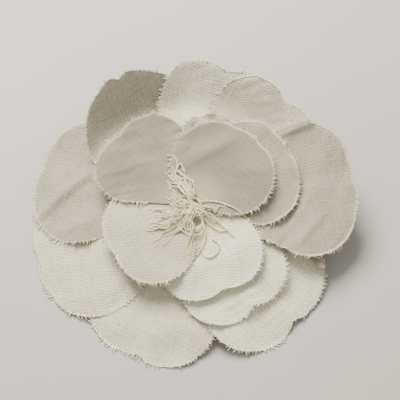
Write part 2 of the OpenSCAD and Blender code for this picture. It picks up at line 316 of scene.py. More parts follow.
def new_object(name, points, faces, material, smooth=True):
    mesh = bpy.data.meshes.new(name)
    mesh.from_pydata(np.asarray(points).tolist(), [], faces)
    mesh.update()
    if smooth:
        mesh.shade_smooth()
    mesh.materials.append(material)
    made = bpy.data.objects.new(name, mesh)
    bpy.context.scene.collection.objects.link(made)
    return made


def make_piece(name, points, faces, material):
    """A piece that stays with the flower."""
    piece = new_object(name, points, faces, material)
    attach(piece, "flower")
    return piece


def set_uv(piece, name, per_point):
    mesh = piece.data
    layer = mesh.uv_layers.new(name=name)
    corner = np.zeros(len(mesh.loops), np.int32)
    mesh.loops.foreach_get("vertex_index", corner)
    layer.data.foreach_set("uv", np.asarray(per_point, np.float32)[corner].ravel())


def set_attribute(piece, name, per_point):
    made = piece.data.attributes.new(name, "FLOAT", "POINT")
    made.data.foreach_set("value", np.asarray(per_point, np.float32))


def smooth_line(points, steps):
    """A Catmull-Rom curve through the points, with that many steps a span."""
    p = np.asarray(points, float)
    p = np.vstack([2 * p[0] - p[1], p, 2 * p[-1] - p[-2]])
    t = np.linspace(0, 1, steps, endpoint=False)[:, None]
    spans = []
    for k in range(1, len(p) - 2):
        a, b, c, d = p[k - 1], p[k], p[k + 1], p[k + 2]
        square, cube = (2 * a - 5 * b + 4 * c - d) * t**2, (3 * b - a - 3 * c + d) * t**3
        spans.append(0.5 * (2 * b + (c - a) * t + square + cube))
    return np.vstack([*spans, p[-2][None]])


def run_along(line):
    """The distance along a line at each of its points."""
    return np.r_[0, np.cumsum(np.linalg.norm(np.diff(line, axis=0), axis=1))]


def resample(line, run, places):
    return np.stack([np.interp(places, run, line[:, k]) for k in range(3)], -1)


def line_frames(line):
    """Two unit vectors across the line at each point, carried along without twist."""
    tangent = np.gradient(line, axis=0)
    tangent /= np.linalg.norm(tangent, axis=1)[:, None] + 1e-12
    start = np.cross(tangent[0], (0, 0, 1)) if abs(tangent[0][2]) < 0.9 else np.cross(tangent[0], (1, 0, 0))
    side = [start / np.linalg.norm(start)]
    for t in tangent[1:]:
        s = side[-1] - t * (side[-1] @ t)
        side.append(s / (np.linalg.norm(s) + 1e-12))
    side = np.array(side)
    return side, np.cross(tangent, side)


def ring_angles(turns):
    return np.arange(turns) * 2 * math.pi / turns


def ring_faces(rows, turns, first=0):
    """The quads between rings of points that follow each other."""
    return [
        (here + m, here + (m + 1) % turns, here + turns + (m + 1) % turns, here + turns + m)
        for here in range(first, first + (rows - 1) * turns, turns)
        for m in range(turns)
    ]


def end_faces(rows, turns, first=0):
    last = first + (rows - 1) * turns
    return [tuple(reversed(range(first, first + turns))), tuple(range(last, last + turns))]


def tubes(lines, radii, sides):
    """Closed tubes round many lines: points, faces, and for the Twist map turns round and mm along."""
    points, faces, twist, first = [], [], [], 0
    angle = ring_angles(sides)
    across = (np.abs(angle - math.pi) / math.pi)[None]
    for line, radius in zip(lines, radii):
        side, up = line_frames(line)
        radius = np.broadcast_to(np.asarray(radius, float), (len(line),))
        ring = side[:, None] * np.cos(angle)[None, :, None] + up[:, None] * np.sin(angle)[None, :, None]
        points.append((line[:, None] + ring * radius[:, None, None]).reshape(-1, 3))
        twist.append(np.stack(np.broadcast_arrays(across, run_along(line)[:, None]), -1).reshape(-1, 2))
        faces += ring_faces(len(line), sides, first) + end_faces(len(line), sides, first)
        first += len(line) * sides
    return np.vstack(points), faces, np.vstack(twist)


def tube_piece(name, lines, radii, sides, material):
    """Tubes with their lines and radii in millimetres."""
    points, faces, twist = tubes(lines, radii, sides)
    piece = make_piece(name, points * MM, faces, material)
    set_uv(piece, "Twist", twist)
    return piece


# ---- The flower's shape, in millimetres, as part.scad has it ----

ROOT_R = 4.05
CLOTH_T = 0.45
VISIBLE_T = 0.34  # a petal's thickness as it is seen
STACK_PITCH = 0.7
FIRST_ROOT = 12.7
CUP_R = 60.0
CUP_HIGH = 30.0
CUP_AZIMUTH = math.radians(75)
CUP_CURL = 2.7
CLIP_AZIMUTH = 65.0
HELD_R = 7  # out to here the core holds the cloth flat
FREE_OVER = 18  # and this much further out its folds are full
NOTCH_HALF = 0.13  # radians from a notch's middle line to where its filling has faded

# petal: azimuth of its notch, reach, width, half the gap between its lobes' centres, level in the stack,
# lift of the clockwise side, notch and other side, and how late the lift starts
PETALS = {
    "outer_bottom": (248.5, 59.5, 51, 7, 0, -0.8, 0.5, 0.4, 2),
    "outer_lower_right": (-45.5, 59.5, 53, 9, 1, 1.4, -3.4, -7, 2),
    "outer_lower_left": (194.5, 64, 58, 6.5, 1, -4, -1.3, 0.5, 2),
    "outer_left": (161, 65.5, 51, 6, 2, -4, -3, -1, 3),
    "middle_lower_right": (-57, 46, 43, 7, 2, 1.7, 0, 0, 2),
    "outer_upper_left": (121, 56.5, 45, 8, 3, 0, 12, 8, 5),
    "outer_top": (76, 58.5, 48, 8, 4, -3, 2, 9, 4),
    "outer_upper_right": (48.5, 59, 47.5, 8, 5, -5, -1, 3, 3),
    "outer_right": (10.5, 65, 52, 7, 7, -2.5, -4, 0, 2),
    "middle_upper_right": (59, 41.5, 42, 8, 8, 0, 0, 0, 2),
    "middle_right": (33, 45, 44, 5, 9, -1.5, 0, 0, 2),
    "inner_lower_right": (-69, 35.5, 41, 7, 10, -1, -3, 0, 2),
    "inner_lower_left": (213, 35.5, 41, 5.5, 11, 0, 0, 0, 2),
    "middle_upper_left": (134, 43, 41, 7, 12, 0, 0, 0, 2),
    "inner_upper_right": (52, 37, 43, 5, 13, 0, 0, 0, 2),
}

# Folds that the cloth keeps: start and end of each line, height of the ridge, and its half width
FOLDS = {
    "outer_left": [((-62, 2), (-40, 19), 1.5, 2.2), ((-55, -6), (-40, -2), 0.4, 2.5)],
    "outer_right": [
        ((36, 30), (52, 35.5), 1.1, 1.9),
        ((34, -13), (49, 7), 0.7, 1.4),
        ((42, -14), (55, 1), 0.6, 1.3),
        ((30, 8), (60, 16), -0.5, 4.0),
    ],
    "inner_upper_right": [
        ((-6, 15), (18, 29), 1.3, 4.0),
        ((2, 9.5), (22, 6), -1.1, 3.6),
        ((8, 16), (30, 14), 0.6, 3.5),
        ((-3, 1.5), (10, 2.5), 0.6, 3.0),
    ],
    "middle_lower_right": [((13, -38.5), (27, -30.5), 0.5, 1.0), ((20, -36), (26, -40), 0.5, 1.2)],
    "outer_lower_right": [((25, -37), (29, -46), -0.3, 0.7), ((36, -22), (44, -34), 0.25, 2.5)],
    "middle_upper_left": [
        ((-38, 12), (-12, 21), 0.45, 1.8),
        ((-34, 22), (-14, 27), 0.4, 1.6),
        ((-35, 5), (-14, 10), -0.3, 2.0),
    ],
    "outer_lower_left": [((-40, -8), (-30, -34), 0.4, 4.0), ((-50, -12), (-46, -25), -0.3, 3.0)],
    "outer_bottom": [((-22, -20), (-28, -48), 0.35, 4.0), ((-8, -25), (-6, -50), 0.3, 4.0)],
    "inner_lower_left": [((-24, -2), (-14, -20), 0.35, 3.5)],
    "inner_lower_right": [((8, -14), (14, -26), 0.35, 3.0), ((-2, -20), (2, -32), -0.25, 2.5)],
    "outer_top": [((2, 30), (24, 36), 0.3, 1.5), ((0, 38), (26, 42), 0.3, 1.5)],
}

# Fine wrinkles: direction of the lines in degrees, their spacing and height
WRINKLES = {
    "outer_top": (8, 2.8, 0.15),
    "outer_upper_right": (6, 2.8, 0.20),
    "outer_upper_left": (100, 4.0, 0.08),
    "middle_upper_left": (22, 3.2, 0.15),
    "outer_left": (50, 3.5, 0.08),
    "middle_upper_right": (-25, 5.0, 0.40),
    "middle_right": (-70, 3.5, 0.12),
    "outer_right": (60, 5.0, 0.18),
}


# Where a raised petal turns up out of the flat: radius, how far it hangs there, half the bend's width
TURN_UP = {
    "outer_upper_left": (48.5, 3.0, 4.5),
    "outer_top": (46, 1.6, 5.0),
    "outer_upper_right": (47, 1.3, 5.0),
}

# How much cloth closes a notch that is only shallow, in millimetres
NOTCH_FILL = {"outer_upper_left": 3.4, "inner_upper_right": 2.2, "outer_right": 1.6}


# How far loose cloth swells and sinks, in millimetres
SLACK = {
    "inner_upper_right": 0.34,
    "outer_right": 0.22,
    "outer_upper_right": 0.22,
    "outer_top": 0.28,
    "outer_left": 0.28,
    "middle_upper_left": 0.30,
}


# Rims that are crimped into a frill: how high, ripples a radian, and the radius where they start
FRILLS = {"middle_upper_right": (0.5, 34, 33), "middle_right": (0.25, 22, 38)}


class Petal:
    """One petal: a notched leaf of two lobes on the flower's cup, as a height over the plane."""

    def __init__(self, name):
        self.name = name
        self.node = "petal_" + name
        azimuth, self.reach, self.width, half_gap, self.level, *lift = PETALS[name]
        self.cw, self.notch, self.ccw, self.late = lift
        self.azimuth = math.radians(azimuth)
        self.lobe_r = self.width / 2 - half_gap
        self.lobe_d = self.reach - self.lobe_r
        self.lobe_turn = math.asin(half_gap / self.lobe_d)
        self.half_angle = self.lobe_turn + math.asin(min(1, self.lobe_r / self.lobe_d))
        self.seed = SEED + list(PETALS).index(name)
        self.rim_waves = np.random.default_rng(self.seed).uniform(0, 2 * math.pi, 8)

    def rim(self, a):
        turn = np.abs(a) - self.lobe_turn
        beyond = np.sqrt(np.maximum(0, self.lobe_r**2 - (self.lobe_d * np.sin(turn)) ** 2))
        plain = self.lobe_d * np.cos(turn) + beyond
        fade = np.clip(1.15 - np.abs(a) / self.half_angle, 0, 1)
        wobble = sum(math.exp(-k / 6) * np.sin((7 + 5.3 * k) * a + w) for k, w in enumerate(self.rim_waves))
        filled = NOTCH_FILL.get(self.name, 0.8) * np.exp(-((a / NOTCH_HALF) ** 2))
        return plain + filled + 0.16 * wobble * fade

    def height(self, x, y):
        """The middle of the cloth over a point of the plane."""
        r = np.hypot(x, y)
        azimuth = np.arctan2(y, x)
        v = self.local_angle(x, y) / self.half_angle
        facing = np.cos(azimuth - CUP_AZIMUTH)
        cup = (CUP_HIGH * ((1 + facing) / 2) ** 1.6 - FIRST_ROOT) * (r / CUP_R) ** (CUP_CURL + facing)
        lift = self.notch + (self.ccw - self.cw) / 2 * v + ((self.ccw + self.cw) / 2 - self.notch) * v**2
        raised = lift * (r / self.reach) ** self.late
        plain = FIRST_ROOT + self.level * STACK_PITCH + cup + raised - CLOTH_T / 2
        free = np.clip((r - HELD_R) / FREE_OVER, 0, 1) ** 1.5
        radius, depth, half_width = TURN_UP.get(self.name, (50, 0, 5))
        turned = -depth * np.exp(-(((r - radius) / half_width) ** 2))
        uneven = self.folds(x, y) + self.wrinkles(x, y) + self.slack(x, y) + self.frill(x, y)
        return plain + turned + free * uneven

    def local_angle(self, x, y):
        return (np.arctan2(y, x) - self.azimuth + math.pi) % (2 * math.pi) - math.pi

    def inside(self, x, y, margin=0.0):
        """Which points the petal covers, widened by a margin in millimetres."""
        a = self.local_angle(x, y)
        r = np.hypot(x, y)
        beside = r * np.sin(np.clip(np.abs(a) - self.half_angle, 0, math.pi / 2))
        rim = self.rim(np.clip(a, -self.half_angle, self.half_angle))
        return (beside <= margin) & (r >= ROOT_R) & (r <= rim + margin)

    def folds(self, x, y):
        total = np.zeros_like(x)
        for (x0, y0), (x1, y1), height, half_width in FOLDS.get(self.name, []):
            dx, dy = x1 - x0, y1 - y0
            length = math.hypot(dx, dy)
            along = ((x - x0) * dx + (y - y0) * dy) / length**2
            off = ((x - x0) * dy - (y - y0) * dx) / length
            width = half_width * np.where(off > 0, 0.6, 1.3)
            ends = np.clip(along * 3 + 0.6, 0, 1) * np.clip((1 - along) * 3 + 0.6, 0, 1)
            total = total + height * np.exp(-((off / width) ** 2)) * ends
        return total

    def wrinkles(self, x, y):
        if self.name not in WRINKLES:
            return 0
        degrees, spacing, height = WRINKLES[self.name]
        rng = np.random.default_rng(self.seed + 100)
        total = 0
        waves = zip(rng.normal(0, 9, 9), rng.uniform(0.7, 1.6, 9), rng.uniform(0, 6.3, 9))
        for turn, stretch, phase in waves:
            a = math.radians(degrees + turn)
            across = y * math.cos(a) - x * math.sin(a)
            total = total + np.sin(across * 2 * math.pi / (spacing * stretch) + phase)
        return height * total / 3 * (0.6 + 0.4 * np.sin(x * 0.31 + y * 0.17 + self.seed))

    def frill(self, x, y):
        height, ripples, start = FRILLS.get(self.name, (0, 1, CUP_R))
        a = self.local_angle(x, y)
        waves = np.sin(ripples * a + 1.5 * np.sin(3 * a))
        return height * waves * np.clip((np.hypot(x, y) - start) / 7, 0, 1)

    def slack(self, x, y):
        """Slow hollows and swells of cloth that lies loose."""
        rng = np.random.default_rng(self.seed + 200)
        total = 0
        swells = zip(rng.uniform(0, 6.3, 6), rng.uniform(14, 26, 6), rng.uniform(0, 6.3, 6))
        for turn, size, phase in swells:
            total = total + np.sin((x * math.cos(turn) + y * math.sin(turn)) * 2 * math.pi / size + phase)
        return SLACK.get(self.name, 0.20) * total


NO_CLOTH = -50.0  # the height where nothing lies
LAYER_GAP = VISIBLE_T + 0.08
RIM_MARGIN = 0.8  # how far past its rim a petal still holds up what lies on it


class Cover:
    """A grid of the highest cloth so far, so that each petal lies on those under it, and threads on all."""

    STEP = 0.5
    HALF = 72.0

    def __init__(self):
        self.line = np.arange(-self.HALF, self.HALF + self.STEP, self.STEP)
        self.x, self.y = np.meshgrid(self.line, self.line, indexing="ij")
        self.top = np.full(self.x.shape, NO_CLOTH)

    def at(self, x, y, grid=None):
        grid = self.top if grid is None else grid
        fx = np.clip((np.asarray(x) + self.HALF) / self.STEP, 0, len(self.line) - 1.001)
        fy = np.clip((np.asarray(y) + self.HALF) / self.STEP, 0, len(self.line) - 1.001)
        i, j = fx.astype(int), fy.astype(int)
        u, v = fx - i, fy - j
        low = grid[i, j] * (1 - v) + grid[i, j + 1] * v
        high = grid[i + 1, j] * (1 - v) + grid[i + 1, j + 1] * v
        return low * (1 - u) + high * u

    def lay(self, petal):
        """The petal's height on the grid, raised where it would go through what is under it."""
        z = np.where(petal.inside(self.x, self.y, RIM_MARGIN), petal.height(self.x, self.y), NO_CLOTH)
        raised = np.maximum(z, self.top + LAYER_GAP)
        self.top = np.maximum(self.top, np.where(z > NO_CLOTH, raised, NO_CLOTH))


cover = Cover()
ACROSS = 100  # points of a petal's grid from side to side
OUT = 44  # and from root to rim
WARM_WHITE = (0.765, 0.73, 0.64)


# Age and painted shade of each petal's cloth: 0 is fresh white, 1 is creamy and greyed, and more is darker
# still. The numbers were fitted to how bright each petal looks under this light, so they hold painted shade as
# well as age: petals that tilt away from the light, such as inner_upper_right and middle_upper_left, get
# darker cloth.
AGE_AND_SHADE = {
    "inner_upper_right": 1.95,
    "middle_upper_left": 1.9,
    "middle_right": 1.4,
    "middle_upper_right": 1.15,
    "outer_upper_left": 1.1,
    "outer_right": 1.25,
    "outer_upper_right": 0.84,
    "outer_top": 0.2,
    "outer_left": 1.31,
    "inner_lower_left": 0.76,
    "outer_lower_left": 0.47,
    "outer_bottom": 0.37,
}
FRESH = (0.98, 0.93, 0.69)
AGED_AND_SHADED = (0.515, 0.472, 0.342)


def petal_colour(name):
    # each petal's number darkens its cloth for age and for painted shade together
    age = AGE_AND_SHADE.get(name, 0.0)
    return tuple(f * (a / f) ** age for f, a in zip(FRESH, AGED_AND_SHADED))


def petal_points(petal):
    """The petal's grid: each point's place in the plane, and its angle and radius."""
    v = np.sin(np.linspace(-1, 1, ACROSS) * math.pi / 2)[:, None]
    s = 1 - (1 - np.linspace(0, 1, OUT)) ** 1.25
    a = v * petal.half_angle + np.zeros((1, OUT))
    r = ROOT_R + s[None] * (petal.rim(a) - ROOT_R)
    azimuth = petal.azimuth + a
    return r * np.cos(azimuth), r * np.sin(azimuth), a, r


def grid_faces(rows, columns, offset, flip):
    faces = []
    for i in range(rows - 1):
        for j in range(columns - 1):
            here = offset + i * columns + j
            quad = (here, here + columns, here + columns + 1, here + 1)
            faces.append(quad[::-1] if flip else quad)
    return faces


def grid_border(rows, columns):
    """The indices round a grid's edge, in order."""
    bottom = list(range(columns))
    right = [i * columns + columns - 1 for i in range(1, rows)]
    top = [(rows - 1) * columns + j for j in range(columns - 2, -1, -1)]
    left = [i * columns for i in range(rows - 2, 0, -1)]
    return bottom + right + top + left


def build_petal(petal):
    x, y, a, r = petal_points(petal)
    z = np.maximum(petal.height(x, y), cover.at(x, y) + LAYER_GAP)
    middle = np.stack([x, y, z], -1)
    du, dv = np.gradient(middle, axis=0), np.gradient(middle, axis=1)
    normal = np.cross(du, dv)
    normal /= np.linalg.norm(normal, axis=-1, keepdims=True) + 1e-12
    normal *= np.sign(normal[..., 2:3])
    border = np.minimum(petal.rim(a) - r, r * np.sin(np.maximum(0, petal.half_angle - np.abs(a))))
    thin = VISIBLE_T / 2 * np.clip(0.35 + border / 0.8, 0.35, 1)[..., None]
    points = np.vstack([(middle + normal * thin).reshape(-1, 3), (middle - normal * thin).reshape(-1, 3)])
    count = ACROSS * OUT
    up_is_flipped = np.cross(du, dv)[ACROSS // 2, OUT // 2, 2] > 0
    faces = grid_faces(ACROSS, OUT, 0, not up_is_flipped) + grid_faces(ACROSS, OUT, count, up_is_flipped)
    edge = grid_border(ACROSS, OUT)
    for k, here in enumerate(edge):
        nxt = edge[(k + 1) % len(edge)]
        quad = (here, nxt, nxt + count, here + count)
        faces.append(quad if up_is_flipped else quad[::-1])
    grain = GRAIN.get(petal.name, 0) + math.degrees(petal.azimuth)
    # the petal's colour carries painted shade as well as the cloth's age
    material = cotton("cotton_" + petal.node, petal_colour(petal.name), grain)
    piece = make_piece("cloth_" + petal.name, points * MM, faces, material)
    flat = np.stack([r * np.cos(a), r * np.sin(a)], -1).reshape(-1, 2)
    set_uv(piece, "Weave", np.vstack([flat, flat]))
    set_attribute(piece, "edge", np.tile(border.ravel(), 2))
    set_attribute(piece, "heart", np.tile(np.clip(1 - (r.ravel() - 5) / 11, 0, 1), 2))
    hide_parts(petal.node)
    cover.lay(petal)
    return piece, middle, normal


# Turn of each petal's weave from its own middle line, in degrees
GRAIN = {
    "inner_upper_right": -10,
    "outer_lower_right": 35,
    "outer_bottom": 20,
    "inner_lower_left": 5,
    "outer_left": 60,
    "outer_top": 12,
    "outer_upper_right": 40,
    "middle_upper_left": 30,
    "outer_right": 15,
}


def rim_line(middle, normal):
    """The petal's free edge, evenly spaced, with the outward and upward directions at each point."""
    line = np.vstack([middle[0, OUT // 2 :], middle[1:-1, -1], middle[-1, OUT // 2 :][::-1]])
    inner = np.vstack([middle[3, OUT // 2 :], middle[1:-1, -4], middle[-4, OUT // 2 :][::-1]])
    up = np.vstack([normal[0, OUT // 2 :], normal[1:-1, -1], normal[-1, OUT // 2 :][::-1]])
    run = run_along(line)
    places = np.arange(0.3, run[-1] - 0.3, FRINGE_SPACING)
    line, inner, up = (resample(values, run, places) for values in (line, inner, up))
    out = line - inner
    along = np.gradient(line, axis=0)
    along /= np.linalg.norm(along, axis=1)[:, None]
    out -= along * (out * along).sum(1)[:, None]
    out /= np.linalg.norm(out, axis=1)[:, None] + 1e-12
    return line, out, up, along


FRINGE_SPACING = 0.48
TUFTS = (1.45, 0.5)  # long and short ends by turns, so that the fringe reads as teeth
FRINGE_ROOM = 0.65  # clear height that a frayed end needs under the next petal
FRINGE_LOW = 0.2  # no frayed end goes lower than this
HAIR_R = 0.18
LOOSE_EDGES = 5  # edge threads that have come loose, for each petal


def has_room(petal, points):
    """Which points no later petal lies close over."""
    x, y, z = points.T
    free = np.ones(len(points), bool)
    for other in petals[petals.index(petal) + 1 :]:
        free &= ~(other.inside(x, y, RIM_MARGIN) & (other.height(x, y) - z < FRINGE_ROOM))
    return free


def build_fringe(petal, middle, normal):
    """Frayed thread ends along the raw edge, and a few edge threads that have come loose."""
    draw = np.random.default_rng(petal.seed + 300)
    rim, out, up, along = rim_line(middle, normal)
    count = len(rim)
    place = np.arange(count)
    raggedness = 1 + 0.22 * np.sin(place * 0.045 + petal.seed) + 0.12 * np.sin(place * 0.19)
    lines, radii = [], []
    for k in range(count):
        tuft = TUFTS[k % len(TUFTS)]
        length = float(np.clip(draw.lognormal(0.0, 0.30) * raggedness[k] * tuft, 0.25, 2.4))
        lean = draw.normal(0.15, 0.32)
        rise = draw.normal(0.0, 0.07)
        curl = draw.normal(0, 0.3)
        start = rim[k] - out[k] * 0.3 + up[k] * 0.04
        way = out[k] + along[k] * lean + up[k] * rise
        middle_point = start + way * (0.3 + length * 0.45)
        tip = start + way * (0.3 + length) + (along[k] * curl + up[k] * draw.normal(-0.06, 0.07)) * length
        hair = np.array([start, middle_point, tip])
        if not has_room(petal, hair).all():
            continue
        lines.append(hair)
        thick = HAIR_R * draw.uniform(0.8, 1.2) * (0.75 + 0.25 * tuft)
        radii.append([thick, thick, thick * 0.5])
    for _ in range(LOOSE_EDGES):
        first = int(draw.integers(4, max(5, count - 90)))
        span = np.arange(first, min(count - 2, first + int(draw.integers(18, 80))), 3)
        if len(span) < 5:
            continue
        swell = np.abs(np.sin(np.linspace(0, math.pi, len(span))))
        off = 0.28 + 0.3 * swell + draw.normal(0, 0.06, len(span))
        high = 0.08 + draw.normal(0, 0.05, len(span))
        thread = rim[span] + out[span] * off[:, None] + up[span] * high[:, None]
        if has_room(petal, thread).all():
            lines.append(thread)
            radii.append(np.full(len(span), HAIR_R * 1.1))
    for line in lines:
        line[:, 2] = np.maximum(line[:, 2], FRINGE_LOW)
    name = "fringe_" + petal.name
    # the frayed ends mix in their petal's colour, and with it part of that petal's painted shade
    pale = tuple(0.45 * c + 0.55 * f for c, f in zip(petal_colour(petal.name), FRESH))
    return tube_piece(name, lines, radii, 4, yarn("yarn_" + name, pale))


def cut_size(petal):
    """Width, length and area of the flat cut."""
    a = np.linspace(-petal.half_angle, petal.half_angle, 200)
    rim = petal.rim(a)
    area = float(np.sum((rim[:-1] ** 2 + rim[1:] ** 2) / 4 * np.diff(a))) - petal.half_angle * ROOT_R**2
    return petal.width, petal.reach - ROOT_R, area


petals = [Petal(name) for name in sorted(PETALS, key=lambda name: PETALS[name][4])]
laid = [build_petal(petal) for petal in petals]
for petal, (cloth, middle, normal) in zip(petals, laid):
    fringe = build_fringe(petal, middle, normal)
    width, length, area = cut_size(petal)

# ---- Core, threads and stem ----

core_low, core_high = (np.array(corner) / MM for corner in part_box("petal_core"))
CORE_R = (core_high[0] - core_low[0]) / 2
CORE_TOP = core_high[2]
KNOT = np.array([0.6, -0.4, CORE_TOP + 0.6])
on_core = np.hypot(cover.x, cover.y) < CORE_R + 0.8
cover.top = np.maximum(cover.top, np.where(on_core, CORE_TOP - 0.4, NO_CLOTH))
PLY_R = 0.13
PLY_OFFSET = 0.115  # of each ply from the thread's middle
PLY_PITCH = 1.7


def build_core():
    """The gathered roots of the petals, bound round with thread."""
    rows, turns = 26, 72
    angle = ring_angles(turns)
    points, flat = [], []
    for k in range(rows):
        t = k / (rows - 1)
        z = core_low[2] + (CORE_TOP - core_low[2]) * min(1, t * 1.25)
        shrink = 1 if t < 0.8 else 1 - ((t - 0.8) / 0.2) ** 1.5 * 0.97
        gather = 1 - 0.05 * (1 + np.cos(11 * angle + 2 * np.sin(3 * angle))) * (0.4 + 0.6 * t)
        r = CORE_R * shrink * gather
        sag = 0 if t < 0.8 else -0.5 * ((t - 0.8) / 0.2)
        points.append(np.stack([r * np.cos(angle), r * np.sin(angle), np.full(turns, z + sag)], -1))
        flat.append(np.stack([CORE_R * angle, np.full(turns, z)], -1))
    faces = ring_faces(rows, turns) + end_faces(rows, turns)
    material = cotton("cotton_core", WARM_WHITE, 0)
    core = make_piece("core_gather", np.vstack(points) * MM, faces, material)
    set_uv(core, "Weave", np.vstack(flat))
    set_attribute(core, "edge", np.full(rows * turns, 5.0))
    set_attribute(core, "heart", np.full(rows * turns, 1.0))
    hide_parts("petal_core")


def two_ply(line, radius=PLY_R, offset=PLY_OFFSET, pitch=PLY_PITCH, phase=0.0):
    """Two thin strands twisted round each other along a line, opening a little at the free end."""
    run = run_along(line)
    places = np.linspace(0, run[-1], max(8, int(run[-1] / pitch * 7)))
    line = resample(line, run, places)
    side, up = line_frames(line)
    turn = places / pitch * 2 * math.pi + phase
    opening = offset * (1 + 1.2 * np.clip((places - run[-1] + 1.5) / 1.5, 0, 1))
    strands = []
    for half in (0, math.pi):
        across = side * np.cos(turn + half)[:, None] + up * np.sin(turn + half)[:, None]
        strands.append(line + across * opening[:, None])
    return strands, [radius, radius]


def laid_thread(start, tip, rise, bow, draw, waves=0.8, above=0.30):
    """A limp thread: up out of the knot, over in an arch, and down on to the cloth under its tip."""
    start, tip = np.asarray(start, float), np.asarray(tip, float)
    t = np.linspace(0, 1, 9)
    way = tip - start[:2]
    across = np.array([-way[1], way[0]]) / (np.linalg.norm(way) + 1e-9)
    bend = bow * np.sin(t * math.pi) + waves * draw.normal(0, 1, 9) * np.sin(t * math.pi) ** 0.5
    flat = start[:2] + way * t[:, None] + across * bend[:, None]
    floor_z = cover.at(flat[:, 0], flat[:, 1]) + above
    end_z = cover.at(tip[0], tip[1]) + above
    hump = rise * np.sin(math.pi * np.minimum(1, t * 1.15)) ** 1.2
    arch = start[2] * (1 - t) ** 1.3 + end_z * (1 - (1 - t) ** 1.3) + hump
    z = np.maximum(arch, floor_z)
    line = smooth_line(np.column_stack([flat, z]), 6)
    line[:, 2] = np.maximum(line[:, 2], cover.at(line[:, 0], line[:, 1]) + above * 0.8)
    return line


# Bunches of threads: how many, the direction and spread of their tips in degrees, their length and its
# spread, how high they arch, and how far they bow to the left
BUNCHES = [
    (15, 116, 6, 17.0, 2.0, 1.6, -1.4),
    (7, 130, 7, 13.5, 2.5, 1.8, -1.0),
    (4, 160, 9, 11.5, 2.0, 1.6, 0.8),
    (4, 190, 7, 15.0, 1.5, 1.6, 1.4),
    (8, 209, 6, 19.0, 1.5, 1.4, 1.8),
    (4, 232, 6, 17.5, 1.8, 1.4, 1.4),
    (8, 266, 4, 19.5, 2.5, 1.6, -1.2),
    (3, 318, 9, 15.0, 2.0, 1.8, 1.4),
    (3, 346, 8, 11.0, 3.0, 1.2, -1.4),
]

# Single long threads and loops, as places in the plane from the flower's middle and heights over the cloth
LOOSE = [
    [(1.5, 0.5, 1.2), (6, 1.6, 1.0), (12, 0.6, 0.6), (18, -2.2, 0.5), (24.5, -6.5, 0.4)],
    [(2.5, -4, 1.6), (7, -5, 1.6), (11.5, -7.5, 1.0), (16.5, -12.5, 0.5)],
    [(1.0, -1, 2.0), (-4.5, -2.2, 2.2), (-6.8, -6.5, 1.6), (-3.0, -11.0, 1.3),
     (2.0, -12.2, 1.4), (4.8, -9.5, 1.8), (3.2, -5.0, 2.6), (1.2, -1.2, 2.6)],
    [(1.8, -3, 2.0), (4.4, -7, 2.2), (5.3, -12.5, 1.2), (3.2, -18, 0.8), (0.4, -21.5, 0.5)],
    [(3.4, -12, 0.6), (3.4, -17, 0.5), (6.2, -20.3, 0.5),
     (10.0, -18.6, 0.5), (10.6, -15.2, 0.6), (8.0, -13.2, 0.7)],
    [(0.4, -1.5, 2.2), (-2.2, -4.5, 2.4), (-1.5, -8.4, 1.8),
     (2.4, -9.3, 1.6), (4.6, -6.2, 2.0), (2.0, -2.4, 2.6)],
    [(1.2, -2, 1.8), (5.8, -6.5, 1.6), (10.5, -9.8, 0.8), (14.6, -9.6, 0.5)],
    [(0.5, -1, 2.0), (-3.0, 1.0, 2.2), (-5.5, -1.5, 2.0),
     (-4.5, -6.0, 1.6), (-0.5, -7.0, 1.8), (2.0, -4.0, 2.4)],
    [(1.0, 0, 2.2), (3.6, -2.5, 2.4), (4.0, -7.5, 1.8),
     (0.0, -10.5, 1.4), (-4.0, -8.5, 1.6), (-3.5, -4.0, 2.2)],
    [(-2, 3, 1.6), (-5, 8, 1.4), (-6.5, 13.5, 1.0), (-4.5, 17.5, 0.8), (-3.0, 14.0, 1.0)],
    [(0.5, -2, 2.4), (-1.0, -6.0, 2.4), (1.5, -10.0, 1.8),
     (4.5, -8.0, 2.0), (2.5, -4.5, 2.8), (-1.5, -4.5, 2.6)],
]
FILLERS = 12  # short threads that fill the middle of the bunch


def build_stamens():
    draw = np.random.default_rng(SEED + 500)
    strands, radii = [], []

    def add(line, scale=1.0):
        plies, sizes = two_ply(line, PLY_R * scale, PLY_OFFSET * scale, phase=draw.uniform(0, 6))
        strands.extend(plies)
        radii.extend(sizes)

    for count, heading, spread, length, length_spread, rise, bow in BUNCHES:
        for _ in range(count):
            a = math.radians(heading + draw.normal(0, spread))
            reach = length + draw.normal(0, length_spread)
            spot = KNOT + np.array([*draw.normal(0, 0.8, 2), draw.uniform(-0.4, 0.9)])
            tip = KNOT[:2] + reach * np.array([math.cos(a), math.sin(a)])
            add(laid_thread(spot, tip, rise * draw.uniform(0.5, 1.5), bow + draw.normal(0, 1.0), draw))
    for _ in range(FILLERS):
        a, reach = draw.uniform(0, 2 * math.pi), draw.uniform(4, 8)
        tip = KNOT[:2] + np.array([0.5, -3.5]) + reach * 0.6 * np.array([math.cos(a), math.sin(a)])
        spot = KNOT + np.array([*draw.normal(0, 0.9, 2), 0.3])
        add(laid_thread(spot, tip, 1.8, draw.normal(0, 2.5), draw, 0.7, 0.7))
    for route in LOOSE:
        flat = np.array(route)
        flat[:, 2] += cover.at(flat[:, 0], flat[:, 1])
        line = smooth_line(flat, 8)
        line[:, 2] = np.maximum(line[:, 2], cover.at(line[:, 0], line[:, 1]) + 0.3)
        add(line, 1.3)
    cream = yarn("stamen_yarn", (0.93, 0.84, 0.54))
    made = tube_piece("stamens", strands, radii, 4, cream)
    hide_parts("stamen_threads")


